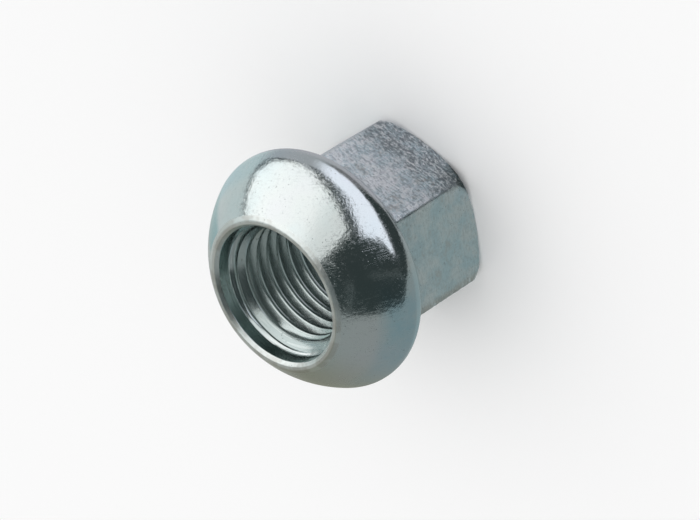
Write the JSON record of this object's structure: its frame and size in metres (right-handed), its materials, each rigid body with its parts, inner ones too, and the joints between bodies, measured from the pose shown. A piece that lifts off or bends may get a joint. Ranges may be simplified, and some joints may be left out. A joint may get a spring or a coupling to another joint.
{
  "type": "lug nut",
  "caption": "One-piece open lug nut: spanner hexagon, ball-seat collar, counterbored mouth and a threaded through bore.",
  "frame": {"origin": "centre of the hexagon's end face, on the bore axis; the nut stands on that face", "axes": "+Z along the bore axis, from the hexagon's end face to the ball seat and the mouth; +X through a corner of the hexagon"},
  "size_m": [0.0258, 0.0258, 0.0208],
  "materials": {
    "zinc_plate": "bright zinc plate over cold-forged steel, clear blue passivation"
  },
  "bodies": {
    "root": {"lug_nut": "zinc_plate"}
  },
  "joints": []
}
